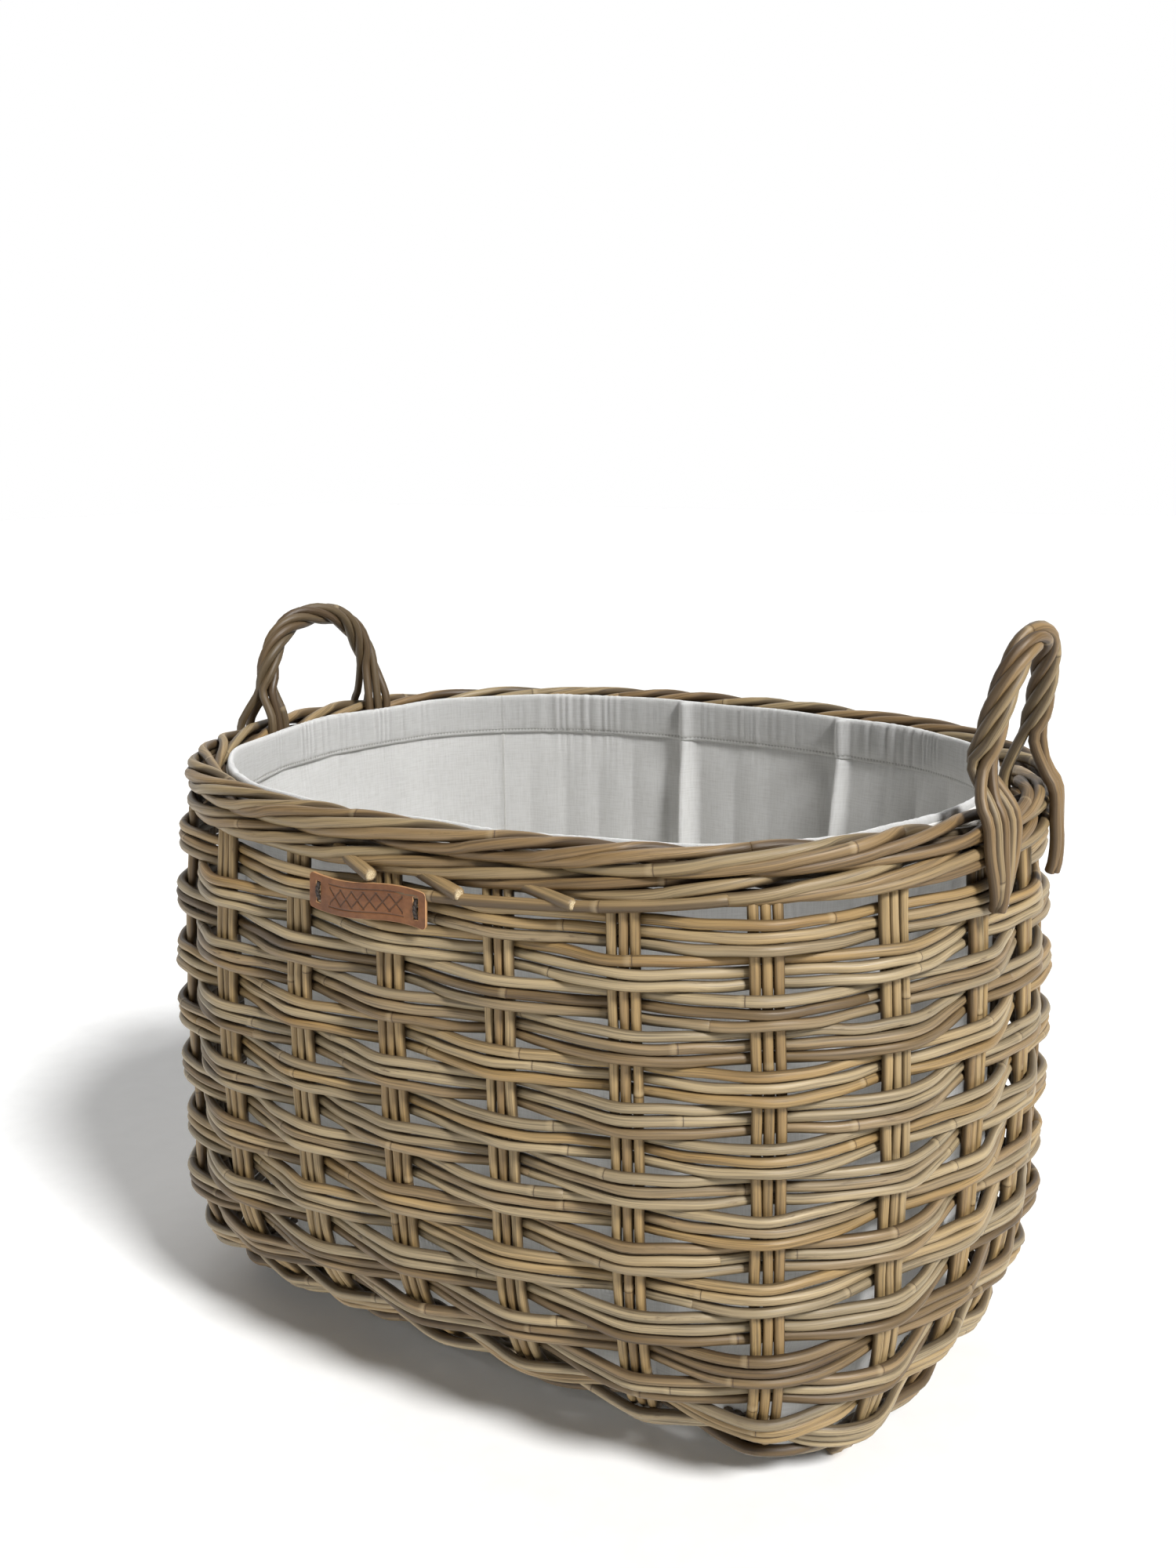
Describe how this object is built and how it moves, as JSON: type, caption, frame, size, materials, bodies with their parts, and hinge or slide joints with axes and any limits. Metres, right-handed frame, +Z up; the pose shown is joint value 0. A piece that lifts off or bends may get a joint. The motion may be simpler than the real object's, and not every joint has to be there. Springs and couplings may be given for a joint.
{
  "type": "wicker log basket",
  "caption": "Deep rounded basket of triple-cane wicker with a rolled rim, roped arch handles at both short ends, a small leather label and a lift-out cotton liner.",
  "frame": {"origin": "centre of the footprint, on the surface that the basket stands on", "axes": "+Z up, X along the basket's length between the handles, -Y towards the labelled side"},
  "size_m": [0.6645, 0.5043, 0.5372],
  "materials": {
    "stake_cane": "satin, worn, lengthwise grain",
    "weaver_cane": "satin, grey-brown, stained, lengthwise grain",
    "border_cane": "satin, grey-brown, lengthwise grain",
    "handle_cane": "satin, rubbed, lengthwise grain",
    "base_cane": "matt, dusty",
    "liner_cotton": "plain-weave cotton, creased",
    "liner_elastic": "knitted elastic",
    "label_leather": "smooth tan leather with cut edges",
    "label_tie": "dark waxed thong"
  },
  "bodies": {
    "basket": {"stake_01": "stake_cane", "stake_02": "stake_cane", "stake_03": "stake_cane", "stake_04": "stake_cane", "stake_05": "stake_cane", "stake_06": "stake_cane", "stake_07": "stake_cane", "stake_08": "stake_cane", "stake_09": "stake_cane", "stake_10": "stake_cane", "stake_11": "stake_cane", "stake_12": "stake_cane", "stake_13": "stake_cane", "stake_14": "stake_cane", "stake_15": "stake_cane", "stake_16": "stake_cane", "stake_17": "stake_cane", "stake_18": "stake_cane", "stake_19": "stake_cane", "stake_20": "stake_cane", "stake_21": "stake_cane", "stake_22": "stake_cane", "weaver_row_01": "weaver_cane", "weaver_row_02": "weaver_cane", "weaver_row_03": "weaver_cane", "weaver_row_04": "weaver_cane", "weaver_row_05": "weaver_cane", "weaver_row_06": "weaver_cane", "weaver_row_07": "weaver_cane", "weaver_row_08": "weaver_cane", "weaver_row_09": "weaver_cane", "weaver_row_10": "weaver_cane", "weaver_row_11": "weaver_cane", "weaver_row_12": "weaver_cane", "weaver_row_13": "weaver_cane", "weaver_row_14": "weaver_cane", "weaver_row_15": "weaver_cane", "weaver_row_16": "weaver_cane", "weaver_row_17": "weaver_cane", "border_lower_course": "border_cane", "border_upper_course": "border_cane", "handle_left": "handle_cane", "handle_right": "handle_cane", "base_lengthwise_1": "base_cane", "base_lengthwise_2": "base_cane", "base_lengthwise_3": "base_cane", "base_lengthwise_4": "base_cane", "base_crosswise_1": "base_cane", "base_crosswise_2": "base_cane", "base_crosswise_3": "base_cane", "base_crosswise_4": "base_cane", "base_crosswise_5": "base_cane", "label": "label_leather", "label_tie_left": "label_tie", "label_tie_right": "label_tie"},
    "liner": {"liner_wall": "liner_cotton", "liner_lower_wall": "liner_cotton", "liner_hem": "liner_cotton", "liner_elastic": "liner_elastic", "liner_base": "liner_cotton"}
  },
  "joints": [
    {"name": "liner_lift", "type": "slide", "parent": "basket", "child": "liner", "axis": [0, 0, 1], "range_m": [0, 0.52]}
  ]
}
